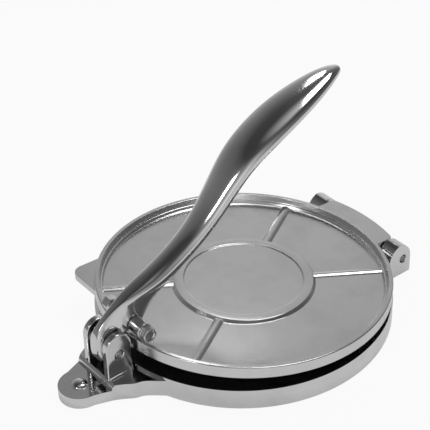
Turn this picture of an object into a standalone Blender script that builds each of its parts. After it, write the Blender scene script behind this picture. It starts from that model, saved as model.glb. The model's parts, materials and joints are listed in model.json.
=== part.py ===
"""Tortilla press: two round cast plates on a rear hinge, and a lever that presses the upper plate down.

Metres, +Z up. The origin is the centre of the base disc on the table. The lever's pivot is towards -Y,
the plate hinge towards +Y. The upper plate stands slightly open, with the lever's rollers over its rim.
"""

import math

import bmesh
import bpy
from mathutils import Matrix, Vector

# Clearances and cutting
REST_GAP = 0.0003
RUNNING_GAP = 0.0002
SWEEP_GAP = 0.0006
HEEL_GAP = 0.0012
CUT_OVERRUN = 0.002
JOIN_DEPTH = 0.001
MERGE_DISTANCE = 0.000005

# Base disc, which stands out a little past the upper plate's rim
PLATE_RADIUS = 0.1
BASE_LIP = 0.0005
BASE_HEIGHT = 0.0145
BASE_WALL = 0.005
BASE_SKIN = 0.0045
BASE_EDGE_ROUND = 0.0012
BASE_RIB_WIDTH = 0.004
BASE_RIB_HEIGHT = 0.006
BASE_RIBS = 6
CENTRE_BOSS_RADIUS = 0.012

# Deck that the lever's ears stand on, a little lower than the disc, and the nose in front of it
DECK_DROP = 0.0023
RISER_HEIGHT = 0.0041
NOSE_ROOT = 0.007
NOSE_TIP_AHEAD = 0.0226
NOSE_TIP_RADIUS = 0.0145
NOSE_WIDTH_SHARES = (
    (0, 2.56),
    (0.24, 1.97),
    (0.409, 1.8),
    (0.534, 1.57),
    (0.668, 1.35),
    (0.76, 1.24),
    (0.885, 1.12),
    (1, 1),
)
RISER_AHEAD = 0.01
DOME_RADIUS = 0.0053
DOME_HEIGHT = 0.0024
DOME_AHEAD = 0.0006

# Front ears, which carry the lever's pivot pin
PIVOT_REACH = 0.011
PIVOT_ABOVE_RIM = 0.0039
FRONT_EAR_INNER_X = 0.0084
FRONT_EAR_THICKNESS = 0.0047
FRONT_EAR_RADIUS = 0.0096
FRONT_EAR_ROUND_ABOVE = 0.0061
EAR_LEDGE_WIDTH = 0.0015
EAR_LEDGE_HEIGHT = 0.0014
PIVOT_PIN_RADIUS = 0.003
WASHER_RADIUS = 0.0062

# Rear hinge
HINGE_REACH = 0.0084
HINGE_BELOW_DECK = 0.0018
HINGE_PIN_RADIUS = 0.0027
REAR_EAR_INNER_X = 0.0315
REAR_EAR_THICKNESS = 0.0113
REAR_EAR_BEHIND = 0.0068
REAR_EAR_ROUND = 0.0117
REAR_EAR_ROUND_ABOVE = 0.0008
KNUCKLE_RADIUS = 0.0046
HINGE_TAB_SIDE_GAP = 0.001
HINGE_TAB_CORNER = 0.004

# Upper plate, a shallow pan, in its closed place
PLATE_GAP = 0.001
PLATE_HEIGHT = 0.0085
PLATE_FLOOR = 0.0026
PLATE_FRONT_LIFT = 0.01018
RIM_WIDTH = 0.0032
RIM_SLOPE = 0.0026
RIM_ROUND = 0.0009
PAD_RADIUS = 0.0465
PAD_SLOPE = 0.0016
PAD_HEIGHT = 0.002
PAD_RECESS_RADIUS = 0.0406
PAD_RECESS_DEPTH = 0.0006
PLATE_RIB_ANGLE = math.radians(31.2)
PLATE_RIB_WIDTH = 0.0066
PLATE_RIB_HEIGHT = 0.0013

# Lift tab on the upper plate's rim, at its front left
LIFT_TAB_REACH = 0.01713
LIFT_TAB_TURN = math.radians(41.886)
LIFT_TAB_THICKNESS = 0.0045
LIFT_TAB_CORNER = 0.008

# Lever: its hub between the ears, its heel over the rim, and its stem
HUB_HALF_WIDTH = 0.0062
HUB_RIDGE_HALF_WIDTH = 0.0027
HUB_FRONT = 0.0102
HUB_BACK = 0.0082
HUB_BELOW = 0.0064
HEEL_HALF_WIDTH = 0.005
HEEL_LIFT = 0.0073
LEVER_REACH = 0.2337
LEVER_WIDTH = 0.033
LEVER_THICKNESS = 0.014

# Presser bolt across the lever, with a roller each side
PRESSER_AHEAD = 0.0177
PRESSER_ABOVE = 0.0123
PRESSER_BOLT_RADIUS = 0.0025
ROLLER_RADIUS = 0.0054
ROLLER_LENGTH = 0.0107
HEX_ACROSS_CORNERS = 0.0104
HEX_THICKNESS = 0.0055

# Metals, as colour and roughness
CAST_ALUMINIUM = ((0.72, 0.72, 0.73), 0.22)
STEEL = ((0.6, 0.6, 0.61), 0.3)

# Facets, and the angle above which an edge stays sharp
ROUND_STEPS = 96
PIN_STEPS = 32
STEM_STEPS = 24
DOME_STEPS = 24
ARC_STEPS = 12
EAR_ARC_STEPS = 20
EDGE_ARC_STEPS = 4
SHARP_ANGLE = math.radians(30)

# Hub outlines as (forward, up) shares of the hub's front and of its height above the pivot
HUB_RISE = 0.0275
HUB_RIDGE_SHARES = (
    (-1, 0.42),
    (-0.78, 0.54),
    (-0.24, 0.76),
    (0.47, 0.94),
    (1.13, 1.04),
    (1.58, 0.94),
    (1.75, 0.66),
)
HUB_SIDE_SHARES = (
    (-0.96, 0.29),
    (-0.65, 0.35),
    (0.05, 0.4),
    (0.85, 0.42),
    (1.5, 0.42),
    (1.7, 0.37),
    (1.75, 0.31),
)
HEEL_SHARES = (
    (0.85, 0.78),
    (2.45, 0.27),
    (2.63, 0.46),
    (2.9, 0.65),
    (3.45, 0.83),
    (2.45, 1.18),
    (1.15, 1.08),
)

# Stem stations: forward and up from the pivot as shares of the reach, then shares of the width and thickness
STEM_SHARES = (
    (0.03, 0.073, 0.34, 0.72),
    (0.082, 0.092, 0.37, 1.2),
    (0.129, 0.12, 0.48, 1.07),
    (0.181, 0.152, 0.54, 0.9),
    (0.239, 0.185, 0.55, 0.86),
    (0.3, 0.223, 0.58, 0.86),
    (0.357, 0.275, 0.67, 0.89),
    (0.403, 0.33, 0.76, 0.93),
    (0.448, 0.383, 0.86, 0.96),
    (0.495, 0.421, 0.94, 1),
    (0.561, 0.457, 1, 1),
    (0.628, 0.487, 0.97, 0.96),
    (0.703, 0.514, 0.83, 0.86),
    (0.779, 0.539, 0.54, 0.68),
    (0.819, 0.547, 0.28, 0.45),
    (0.834, 0.549, 0.1, 0.2),
)

BASE_RADIUS = PLATE_RADIUS + BASE_LIP
PLATE_BOTTOM_Z = BASE_HEIGHT + PLATE_GAP
PLATE_TOP_Z = PLATE_BOTTOM_Z + PLATE_HEIGHT
PIVOT_Y = -PLATE_RADIUS - PIVOT_REACH
PIVOT_Z = PLATE_TOP_Z + PIVOT_ABOVE_RIM
FRONT_EAR_ROUND_Z = PIVOT_Z + FRONT_EAR_ROUND_ABOVE
DECK_HEIGHT = BASE_HEIGHT - DECK_DROP
NOSE_HEIGHT = DECK_HEIGHT - RISER_HEIGHT
NOSE_START_Y = -BASE_RADIUS + NOSE_ROOT
NOSE_TIP_CENTRE_Y = PIVOT_Y - NOSE_TIP_AHEAD
RISER_Y = PIVOT_Y - RISER_AHEAD
DOME_Y = NOSE_TIP_CENTRE_Y - DOME_AHEAD
HINGE_Y = PLATE_RADIUS + HINGE_REACH
HINGE_Z = BASE_HEIGHT - HINGE_BELOW_DECK
REAR_EAR_BACK_Y = HINGE_Y + REAR_EAR_BEHIND
REAR_EAR_ROUND_Z = HINGE_Z + REAR_EAR_ROUND_ABOVE
HINGE_TAB_BACK_RADIUS = HINGE_Y + KNUCKLE_RADIUS
PLATE_OPEN_ANGLE = math.asin(PLATE_FRONT_LIFT / (HINGE_Y + PLATE_RADIUS))
LIFT_TAB_X = -(PLATE_RADIUS + LIFT_TAB_REACH) * math.sin(LIFT_TAB_TURN)
LIFT_TAB_Y = -(PLATE_RADIUS + LIFT_TAB_REACH) * math.cos(LIFT_TAB_TURN)
HINGE_TAB_HALF_WIDTH = REAR_EAR_INNER_X - HINGE_TAB_SIDE_GAP
PRESSER_Y = PIVOT_Y + PRESSER_AHEAD
PRESSER_Z = PIVOT_Z + PRESSER_ABOVE


def clear_scene():
    for item in list(bpy.data.objects):
        bpy.data.objects.remove(item, do_unlink=True)


def new_collection(name):
    collection = bpy.data.collections.new(name)
    bpy.context.scene.collection.children.link(collection)
    return collection


def metal(piece, color, roughness):
    """The piece's own metal, named after it."""
    material = bpy.data.materials.new(f"{piece}_metal")
    material.use_nodes = True
    shader = material.node_tree.nodes["Principled BSDF"]
    shader.inputs["Base Color"].default_value = (*color, 1)
    shader.inputs["Roughness"].default_value = roughness
    shader.inputs["Metallic"].default_value = 1
    return material


def mesh_object(name, build):
    """A mesh object whose bmesh is filled by the function given."""
    shape = bmesh.new()
    build(shape)
    bmesh.ops.recalc_face_normals(shape, faces=shape.faces)
    mesh = bpy.data.meshes.new(name)
    shape.to_mesh(mesh)
    shape.free()
    result = bpy.data.objects.new(name, mesh)
    bpy.context.scene.collection.objects.link(result)
    return result


def evaluated_mesh(item):
    bpy.context.view_layer.update()
    graph = bpy.context.evaluated_depsgraph_get()
    return bpy.data.meshes.new_from_object(item.evaluated_get(graph))


def baked(item):
    """The object with its modifiers made part of its mesh, and the slivers that a cut leaves merged away."""
    mesh = evaluated_mesh(item)
    item.modifiers.clear()
    shape = bmesh.new()
    shape.from_mesh(mesh)
    bmesh.ops.remove_doubles(shape, verts=shape.verts, dist=MERGE_DISTANCE)
    bmesh.ops.dissolve_degenerate(shape, edges=shape.edges, dist=MERGE_DISTANCE)
    shape.to_mesh(mesh)
    shape.free()
    item.data = mesh
    return item


def combined(target, operation, others):
    for other in others:
        modifier = target.modifiers.new(operation.lower(), "BOOLEAN")
        modifier.operation = operation
        modifier.object = other
        modifier.solver = "EXACT"
        baked(target)
        bpy.data.objects.remove(other, do_unlink=True)
    return target


def joined(target, *others):
    return combined(target, "UNION", others)


def cut(target, *others):
    return combined(target, "DIFFERENCE", others)


def rod(name, radius, start, end, steps=PIN_STEPS):
    """A cylinder between two points."""
    axis = Vector(end) - Vector(start)
    turn = axis.to_track_quat("Z", "Y").to_matrix().to_4x4()
    place = Matrix.Translation((Vector(start) + Vector(end)) / 2) @ turn

    def build(shape):
        bmesh.ops.create_cone(
            shape,
            cap_ends=True,
            segments=steps,
            radius1=radius,
            radius2=radius,
            depth=axis.length,
            matrix=place,
        )

    return mesh_object(name, build)


def block(name, low, high):
    """A box between two corners."""
    low = Vector(low)
    size = Vector(high) - low

    def build(shape):
        place = Matrix.Translation(low + size / 2)
        bmesh.ops.create_cube(shape, size=1, matrix=place @ Matrix.Diagonal((*size, 1)))

    return mesh_object(name, build)


def outline_solid(name, points, low, high, axis="Z"):
    """A flat outline filled and extruded from low to high, along Z, or along X for an outline in (Y, Z)."""
    curve = bpy.data.curves.new(name, "CURVE")
    curve.dimensions = "2D"
    curve.fill_mode = "BOTH"
    curve.extrude = (high - low) / 2
    spline = curve.splines.new("POLY")
    spline.points.add(len(points) - 1)
    for target, point in zip(spline.points, points):
        target.co = (*point, 0, 1)
    spline.use_cyclic_u = True
    item = bpy.data.objects.new(name, curve)
    bpy.context.scene.collection.objects.link(item)
    mesh = evaluated_mesh(item)
    bpy.data.objects.remove(item, do_unlink=True)
    mesh.transform(Matrix.Translation((0, 0, (high + low) / 2)))
    if axis == "X":
        mesh.transform(Matrix(((0, 0, 1, 0), (1, 0, 0, 0), (0, 1, 0, 0), (0, 0, 0, 1))))

    def build(shape):
        shape.from_mesh(mesh)
        bmesh.ops.remove_doubles(shape, verts=shape.verts, dist=MERGE_DISTANCE)

    return mesh_object(name, build)


def turned(name, profile, steps=ROUND_STEPS):
    """A closed solid turned about Z, from (radius, height) points that start and end on the axis."""

    def build(shape):
        corners = [shape.verts.new((radius, 0, height)) for radius, height in profile]
        for first, second in zip(corners, corners[1:]):
            shape.edges.new((first, second))

    item = mesh_object(name, build)
    screw = item.modifiers.new("turn", "SCREW")
    screw.steps = steps
    screw.render_steps = steps
    screw.use_merge_vertices = True
    screw.merge_threshold = MERGE_DISTANCE
    mesh = evaluated_mesh(item)
    bpy.data.objects.remove(item, do_unlink=True)

    def close(shape):
        shape.from_mesh(mesh)
        bmesh.ops.remove_doubles(shape, verts=shape.verts, dist=MERGE_DISTANCE)

    return mesh_object(name, close)


def lofted(name, rings):
    """A closed solid through rings of points, with a cap at each end."""

    def build(shape):
        made = [[shape.verts.new(point) for point in ring] for ring in rings]
        for lower, upper in zip(made, made[1:]):
            for index in range(len(lower)):
                after = (index + 1) % len(lower)
                shape.faces.new((lower[index], lower[after], upper[after], upper[index]))
        shape.faces.new(made[0])
        shape.faces.new(made[-1])

    return mesh_object(name, build)


def arc(centre, radius, start, end, steps=ARC_STEPS):
    """Points of an arc, angles in degrees."""
    turns = [math.radians(start + (end - start) * index / steps) for index in range(steps + 1)]
    x, y = centre
    return [(x + radius * math.cos(turn), y + radius * math.sin(turn)) for turn in turns]


def finish(item, collection, look):
    """Puts a finished piece in the press with its own metal, smooth where it is round."""
    for owner in list(item.users_collection):
        owner.objects.unlink(item)
    collection.objects.link(item)
    item.data.materials.clear()
    item.data.materials.append(metal(item.name, *look))
    item.data.shade_smooth()
    item.data.set_sharp_from_angle(angle=SHARP_ANGLE)
    return item


def origin_at(item, place):
    """Moves a piece's origin to its joint, with the piece where it was."""
    item.data.transform(Matrix.Translation(-Vector(place)))
    item.location = place
    return item


def nose_outline(end_y):
    """Half-widths of the nose from the disc forward to a given Y, as (half width, Y) points."""
    length = NOSE_TIP_CENTRE_Y - NOSE_START_Y
    points = [(share * NOSE_TIP_RADIUS, NOSE_START_Y + along * length) for along, share in NOSE_WIDTH_SHARES]
    kept = [point for point in points if point[1] > end_y]
    if len(kept) < len(points):
        wide, narrow = points[len(kept) - 1], points[len(kept)]
        part = (end_y - wide[1]) / (narrow[1] - wide[1])
        kept.append((wide[0] + part * (narrow[0] - wide[0]), end_y))
    return kept


def mirrored_outline(side):
    return side + [(-width, place) for width, place in reversed(side) if width > 0]


def base_disc():
    bevel = BASE_EDGE_ROUND
    profile = [(0, BASE_HEIGHT), (BASE_RADIUS - bevel, BASE_HEIGHT)]
    profile += arc((BASE_RADIUS - bevel, BASE_HEIGHT - bevel), bevel, 90, 0, EDGE_ARC_STEPS)[1:]
    profile += [(BASE_RADIUS, 0), (0, 0)]
    return turned("base_casting", profile)


def base_underside():
    """Centre boss and radial ribs inside the hollow of the base."""
    boss = rod("boss", CENTRE_BOSS_RADIUS, (0, 0, 0), (0, 0, BASE_HEIGHT - BASE_SKIN + JOIN_DEPTH))
    pieces = [boss]
    low = BASE_HEIGHT - BASE_SKIN - BASE_RIB_HEIGHT
    high = BASE_HEIGHT - BASE_SKIN + JOIN_DEPTH
    outer = BASE_RADIUS - BASE_WALL + JOIN_DEPTH
    for index in range(BASE_RIBS):
        rib = block("rib", (0, -BASE_RIB_WIDTH / 2, low), (outer, BASE_RIB_WIDTH / 2, high))
        rib.data.transform(Matrix.Rotation(math.tau * (index + 0.5) / BASE_RIBS, 4, "Z"))
        pieces.append(rib)
    return pieces


def nose_pieces():
    inner_y = NOSE_START_Y + BASE_WALL
    tip = arc((0, NOSE_TIP_CENTRE_Y), NOSE_TIP_RADIUS, 0, -90)
    widest = NOSE_WIDTH_SHARES[0][1] * NOSE_TIP_RADIUS
    flat = [(widest, inner_y)] + nose_outline(NOSE_TIP_CENTRE_Y)[1:-1] + tip
    low_nose = outline_solid("low_nose", mirrored_outline(flat), 0, NOSE_HEIGHT)
    raised = [(widest, inner_y)] + nose_outline(RISER_Y)[1:]
    deck = outline_solid("deck", mirrored_outline(raised), 0, DECK_HEIGHT)

    def build(shape):
        centre = Matrix.Translation((0, DOME_Y, NOSE_HEIGHT))
        stretch = Matrix.Diagonal((DOME_RADIUS, DOME_RADIUS, DOME_HEIGHT, 1))
        bmesh.ops.create_uvsphere(
            shape,
            u_segments=DOME_STEPS,
            v_segments=DOME_STEPS // 2,
            radius=1,
            matrix=centre @ stretch,
        )

    return [low_nose, deck, mesh_object("dome", build)]


def front_ear(side):
    """One of the two ears that carry the lever's pin, with the ledge at its foot."""
    foot_z = DECK_HEIGHT - JOIN_DEPTH
    outline = [(PIVOT_Y - FRONT_EAR_RADIUS, foot_z), (PIVOT_Y + FRONT_EAR_RADIUS, foot_z)]
    outline += arc((PIVOT_Y, FRONT_EAR_ROUND_Z), FRONT_EAR_RADIUS, 0, 180, EAR_ARC_STEPS)
    outer_x = FRONT_EAR_INNER_X + FRONT_EAR_THICKNESS
    low_x, high_x = sorted((side * FRONT_EAR_INNER_X, side * outer_x))
    ear = outline_solid("ear", outline, low_x, high_x, "X")
    ledge_ends = (side * (FRONT_EAR_INNER_X + EAR_LEDGE_WIDTH), side * (outer_x + EAR_LEDGE_WIDTH))
    low_x, high_x = sorted(ledge_ends)
    half_length = FRONT_EAR_RADIUS - EAR_LEDGE_WIDTH / 2
    ledge = block(
        "ledge",
        (low_x, PIVOT_Y - half_length, foot_z),
        (high_x, PIVOT_Y + half_length, DECK_HEIGHT + EAR_LEDGE_HEIGHT),
    )
    return joined(ear, ledge)


def rear_ear(side):
    """One of the two ears of the plate hinge, with its front inside the circle that the rim swings on."""
    plate_edge_y = math.sqrt(PLATE_RADIUS**2 - REAR_EAR_INNER_X**2)
    swing = math.hypot(HINGE_Y - plate_edge_y, PLATE_BOTTOM_Z - HINGE_Z) - SWEEP_GAP
    round_y = REAR_EAR_BACK_Y - REAR_EAR_ROUND
    top_z = REAR_EAR_ROUND_Z + REAR_EAR_ROUND
    start = math.degrees(math.atan2(top_z - HINGE_Z, round_y - HINGE_Y))
    end = 180 - math.degrees(math.asin((BASE_HEIGHT - HINGE_Z) / swing))
    inner_y = math.sqrt(BASE_RADIUS**2 - (REAR_EAR_INNER_X + REAR_EAR_THICKNESS) ** 2) - BASE_WALL / 2
    outline = [(inner_y, 0), (REAR_EAR_BACK_Y, 0)]
    outline += arc((round_y, REAR_EAR_ROUND_Z), REAR_EAR_ROUND, 0, 90)
    outline += arc((HINGE_Y, HINGE_Z), swing, start, end)
    outline += [(inner_y, BASE_HEIGHT)]
    low_x, high_x = sorted((side * REAR_EAR_INNER_X, side * (REAR_EAR_INNER_X + REAR_EAR_THICKNESS)))
    return outline_solid("rear_ear", outline, low_x, high_x, "X")


def cross_bore(radius, half_length, y, z):
    """A cutter along X, centred on X = 0."""
    reach = half_length + CUT_OVERRUN
    return rod("bore", radius, (-reach, y, z), (reach, y, z))


def base_casting():
    base = joined(base_disc(), *nose_pieces())
    hollow = turned(
        "hollow",
        [
            (0, BASE_HEIGHT - BASE_SKIN),
            (BASE_RADIUS - BASE_WALL, BASE_HEIGHT - BASE_SKIN),
            (BASE_RADIUS - BASE_WALL, -CUT_OVERRUN),
            (0, -CUT_OVERRUN),
        ],
    )
    cut(base, hollow)
    joined(base, *base_underside())
    joined(base, front_ear(1), front_ear(-1), rear_ear(1), rear_ear(-1))
    front_half = FRONT_EAR_INNER_X + FRONT_EAR_THICKNESS + EAR_LEDGE_WIDTH
    rear_half = REAR_EAR_INNER_X + REAR_EAR_THICKNESS
    cut(
        base,
        cross_bore(PIVOT_PIN_RADIUS + RUNNING_GAP, front_half, PIVOT_Y, PIVOT_Z),
        cross_bore(HINGE_PIN_RADIUS + RUNNING_GAP, rear_half, HINGE_Y, HINGE_Z),
    )
    return base


def plate_disc():
    floor_z = PLATE_BOTTOM_Z + PLATE_FLOOR
    pad_z = floor_z + PAD_HEIGHT
    round_z = PLATE_TOP_Z - RIM_ROUND
    outer_round = arc((PLATE_RADIUS - RIM_ROUND, round_z), RIM_ROUND, 0, 90, EDGE_ARC_STEPS)
    inner_round = arc((PLATE_RADIUS - RIM_WIDTH + RIM_ROUND, round_z), RIM_ROUND, 90, 150, EDGE_ARC_STEPS)
    profile = [(0, PLATE_BOTTOM_Z), (PLATE_RADIUS, PLATE_BOTTOM_Z)]
    profile += outer_round + inner_round
    profile += [(PLATE_RADIUS - RIM_WIDTH - RIM_SLOPE, floor_z)]
    profile += [(PAD_RADIUS + PAD_SLOPE, floor_z), (PAD_RADIUS, pad_z)]
    profile += [(PAD_RECESS_RADIUS, pad_z), (PAD_RECESS_RADIUS - PAD_RECESS_DEPTH, pad_z - PAD_RECESS_DEPTH)]
    profile += [(0, pad_z - PAD_RECESS_DEPTH)]
    return turned("top_plate", profile[::-1])


def plate_rib(angle):
    """A low rounded rib on the pan's floor, from the pad to the rim, at an angle from +X."""
    radius = (PLATE_RIB_WIDTH**2 / 4 + PLATE_RIB_HEIGHT**2) / (2 * PLATE_RIB_HEIGHT)
    half = math.degrees(math.asin(PLATE_RIB_WIDTH / 2 / radius))
    floor_z = PLATE_BOTTOM_Z + PLATE_FLOOR
    outline = arc((0, floor_z + PLATE_RIB_HEIGHT - radius), radius, 90 - half, 90 + half)
    outline += [(-PLATE_RIB_WIDTH / 2, floor_z - JOIN_DEPTH), (PLATE_RIB_WIDTH / 2, floor_z - JOIN_DEPTH)]
    rib = outline_solid("rib", outline, PAD_RADIUS, PLATE_RADIUS - RIM_WIDTH, "X")
    rib.data.transform(Matrix.Rotation(angle, 4, "Z"))
    return rib


def lift_tab():
    """Square-cornered tab that the plate is lifted by."""
    inner = PLATE_RADIUS - RIM_WIDTH / 2
    first = math.degrees(math.atan2(-math.sqrt(inner**2 - LIFT_TAB_X**2), LIFT_TAB_X))
    last = math.degrees(math.atan2(LIFT_TAB_Y, -math.sqrt(inner**2 - LIFT_TAB_Y**2)))
    corner = (LIFT_TAB_X + LIFT_TAB_CORNER, LIFT_TAB_Y + LIFT_TAB_CORNER)
    outline = arc((0, 0), inner, last, first) + arc(corner, LIFT_TAB_CORNER, 180, 270)
    return outline_solid("lift_tab", outline, PLATE_BOTTOM_Z, PLATE_BOTTOM_Z + LIFT_TAB_THICKNESS)


def hinge_tab():
    """Tab at the back of the plate, with the knuckle that turns on the hinge pin under it."""
    inner = PLATE_RADIUS - RIM_WIDTH / 2
    half = HINGE_TAB_HALF_WIDTH
    inner_turn = math.degrees(math.acos(half / inner))
    rounded = HINGE_TAB_BACK_RADIUS - HINGE_TAB_CORNER
    corner_x = half - HINGE_TAB_CORNER
    corner_y = math.sqrt(rounded**2 - corner_x**2)
    back_turn = math.degrees(math.atan2(corner_y, corner_x))
    side = arc((0, 0), inner, 90, inner_turn) + arc((corner_x, corner_y), HINGE_TAB_CORNER, 0, back_turn)
    side += arc((0, 0), HINGE_TAB_BACK_RADIUS, back_turn, 90)[1:]
    outline = side + [(-x, y) for x, y in reversed(side[1:-1])]
    tab = outline_solid("tab", outline, PLATE_BOTTOM_Z, PLATE_TOP_Z)
    turns = arc((HINGE_Y, HINGE_Z), KNUCKLE_RADIUS, 180, 360)
    turns += [(HINGE_Y + KNUCKLE_RADIUS, PLATE_BOTTOM_Z + JOIN_DEPTH)]
    turns += [(HINGE_Y - KNUCKLE_RADIUS, PLATE_BOTTOM_Z + JOIN_DEPTH)]
    knuckle = outline_solid("knuckle", turns, -half, half, "X")
    return joined(tab, knuckle)


def top_plate():
    plate = plate_disc()
    right = math.pi / 2
    angles = [turn + sign * PLATE_RIB_ANGLE for turn in (right, -right) for sign in (1, -1)]
    joined(plate, *[plate_rib(angle) for angle in angles])
    joined(plate, lift_tab(), hinge_tab())
    cut(plate, cross_bore(HINGE_PIN_RADIUS + RUNNING_GAP, HINGE_TAB_HALF_WIDTH, HINGE_Y, HINGE_Z))
    origin_at(plate, (0, HINGE_Y, HINGE_Z))
    plate.rotation_euler.x = -PLATE_OPEN_ANGLE
    return plate


def hub_ring(x, shares):
    """Outline of the hub at one X: flat front, arched top, open below the heel."""
    below = PIVOT_Z - HUB_BELOW
    heel_z = PIVOT_Z + HEEL_LIFT
    front = shares[0][0] * HUB_FRONT
    back = shares[-1][0] * HUB_FRONT
    arch = [(forward * HUB_FRONT, up * HUB_RISE) for forward, up in shares]
    heel_front = HUB_BACK + HEEL_GAP
    bottom = [(PIVOT_Y + back, heel_z), (PIVOT_Y + heel_front, heel_z), (PIVOT_Y + HUB_BACK, below)]
    bottom += [(PIVOT_Y + front, below)]
    return [(x, PIVOT_Y + forward, PIVOT_Z + up) for forward, up in arch] + [(x, y, z) for y, z in bottom]


def stem_rings():
    """Oval sections square to the stem's centre line."""
    centres = [Vector((0, forward, up)) * LEVER_REACH for forward, up, _, _ in STEM_SHARES]
    rings = []
    for index, (_, _, width, thickness) in enumerate(STEM_SHARES):
        along = centres[min(index + 1, len(centres) - 1)] - centres[max(index - 1, 0)]
        up = Vector((0, -along.z, along.y)).normalized()
        across = Vector((1, 0, 0))
        ring = []
        for step in range(STEM_STEPS):
            turn = math.tau * step / STEM_STEPS
            offset = across * math.cos(turn) * width * LEVER_WIDTH / 2
            offset += up * math.sin(turn) * thickness * LEVER_THICKNESS / 2
            ring.append(Vector((0, PIVOT_Y, PIVOT_Z)) + centres[index] + offset)
        rings.append(ring)
    return rings


def lever():
    hub = lofted(
        "lever",
        [
            hub_ring(-HUB_HALF_WIDTH, HUB_SIDE_SHARES),
            hub_ring(-HUB_RIDGE_HALF_WIDTH, HUB_RIDGE_SHARES),
            hub_ring(HUB_RIDGE_HALF_WIDTH, HUB_RIDGE_SHARES),
            hub_ring(HUB_HALF_WIDTH, HUB_SIDE_SHARES),
        ],
    )
    outline = [(PIVOT_Y + forward * HUB_FRONT, PIVOT_Z + up * HUB_RISE) for forward, up in HEEL_SHARES]
    heel = outline_solid("heel", outline, -HEEL_HALF_WIDTH, HEEL_HALF_WIDTH, "X")
    joined(hub, heel, lofted("stem", stem_rings()))
    cut(
        hub,
        cross_bore(PIVOT_PIN_RADIUS + RUNNING_GAP, HUB_HALF_WIDTH, PIVOT_Y, PIVOT_Z),
        cross_bore(PRESSER_BOLT_RADIUS + RUNNING_GAP, HUB_HALF_WIDTH, PRESSER_Y, PRESSER_Z),
    )
    return origin_at(hub, (0, PIVOT_Y, PIVOT_Z))


def ring_piece(name, radius, bore, low_x, high_x, y, z, steps=PIN_STEPS):
    """A washer, roller or nut along X."""
    piece = rod(name, radius, (low_x, y, z), (high_x, y, z), steps)
    return cut(piece, rod("bore", bore, (low_x - CUT_OVERRUN, y, z), (high_x + CUT_OVERRUN, y, z)))


def pivot_pieces(collection):
    outer_x = FRONT_EAR_INNER_X + FRONT_EAR_THICKNESS
    pin = rod("lever_pivot_pin", PIVOT_PIN_RADIUS, (-outer_x, PIVOT_Y, PIVOT_Z), (outer_x, PIVOT_Y, PIVOT_Z))
    finish(pin, collection, STEEL)
    for side, label in ((1, "near"), (-1, "far")):
        ends = (side * (HUB_HALF_WIDTH + REST_GAP), side * (FRONT_EAR_INNER_X - REST_GAP))
        bore = PIVOT_PIN_RADIUS + RUNNING_GAP
        washer = ring_piece(
            f"pivot_washer_{label}", WASHER_RADIUS, bore, min(ends), max(ends), PIVOT_Y, PIVOT_Z
        )
        finish(washer, collection, STEEL)


def presser_pieces(collection):
    """Bolt with a hexagon head, a nut on its far end, and a roller each side of the lever."""
    roller_start = HUB_HALF_WIDTH + REST_GAP
    roller_end = roller_start + ROLLER_LENGTH
    head_start = roller_end + REST_GAP
    head_end = head_start + HEX_THICKNESS
    place = (PRESSER_Y, PRESSER_Z)
    bolt = rod("presser_bolt", PRESSER_BOLT_RADIUS, (-head_end, *place), (head_start + JOIN_DEPTH, *place))
    joined(bolt, rod("head", HEX_ACROSS_CORNERS / 2, (head_start, *place), (head_end, *place), 6))
    finish(origin_at(bolt, (0, *place)), collection, STEEL)
    bore = PRESSER_BOLT_RADIUS + RUNNING_GAP
    nut = ring_piece("presser_nut", HEX_ACROSS_CORNERS / 2, bore, -head_end, -head_start, *place, 6)
    finish(nut, collection, STEEL)
    for side, label in ((1, "near"), (-1, "far")):
        ends = (side * roller_start, side * roller_end)
        roller = ring_piece(f"presser_roller_{label}", ROLLER_RADIUS, bore, min(ends), max(ends), *place)
        finish(roller, collection, STEEL)


def main():
    clear_scene()
    press = new_collection("tortilla_press")
    finish(base_casting(), press, CAST_ALUMINIUM)
    finish(top_plate(), press, CAST_ALUMINIUM)
    finish(lever(), press, CAST_ALUMINIUM)
    pivot_pieces(press)
    rear_half = REAR_EAR_INNER_X + REAR_EAR_THICKNESS
    hinge_ends = ((-rear_half, HINGE_Y, HINGE_Z), (rear_half, HINGE_Y, HINGE_Z))
    finish(rod("hinge_pin", HINGE_PIN_RADIUS, *hinge_ends), press, STEEL)
    presser_pieces(press)


main()
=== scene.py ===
"""Tortilla press: polished cast plates and lever, built over the press's working parts, on a pale floor."""

import json
import math

import bpy
from bpy.props import FloatProperty, FloatVectorProperty, PointerProperty
from mathutils import Matrix, Vector


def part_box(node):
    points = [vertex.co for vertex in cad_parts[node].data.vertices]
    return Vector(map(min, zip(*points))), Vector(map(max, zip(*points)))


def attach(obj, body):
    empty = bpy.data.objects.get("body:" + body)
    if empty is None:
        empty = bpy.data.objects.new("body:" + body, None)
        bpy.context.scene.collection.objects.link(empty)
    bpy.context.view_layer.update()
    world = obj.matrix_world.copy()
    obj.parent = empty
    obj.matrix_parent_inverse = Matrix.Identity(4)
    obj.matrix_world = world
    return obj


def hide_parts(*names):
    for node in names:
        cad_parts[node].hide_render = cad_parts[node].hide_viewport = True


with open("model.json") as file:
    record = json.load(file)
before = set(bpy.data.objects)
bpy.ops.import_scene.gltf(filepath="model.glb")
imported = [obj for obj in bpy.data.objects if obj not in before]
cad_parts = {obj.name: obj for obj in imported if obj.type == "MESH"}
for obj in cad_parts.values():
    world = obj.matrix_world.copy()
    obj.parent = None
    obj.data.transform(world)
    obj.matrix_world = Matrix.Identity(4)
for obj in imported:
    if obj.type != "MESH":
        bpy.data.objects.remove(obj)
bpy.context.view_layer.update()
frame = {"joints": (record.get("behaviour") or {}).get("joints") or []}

bl_info = {
    "name": "Tortilla Press",
    "version": (1, 0, 0),
    "blender": (4, 5, 0),
    "location": "View3D > Sidebar > Press",
    "description": "Builds a polished cast tortilla press with its plates, lever and pins",
    "category": "Add Mesh",
}

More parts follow.
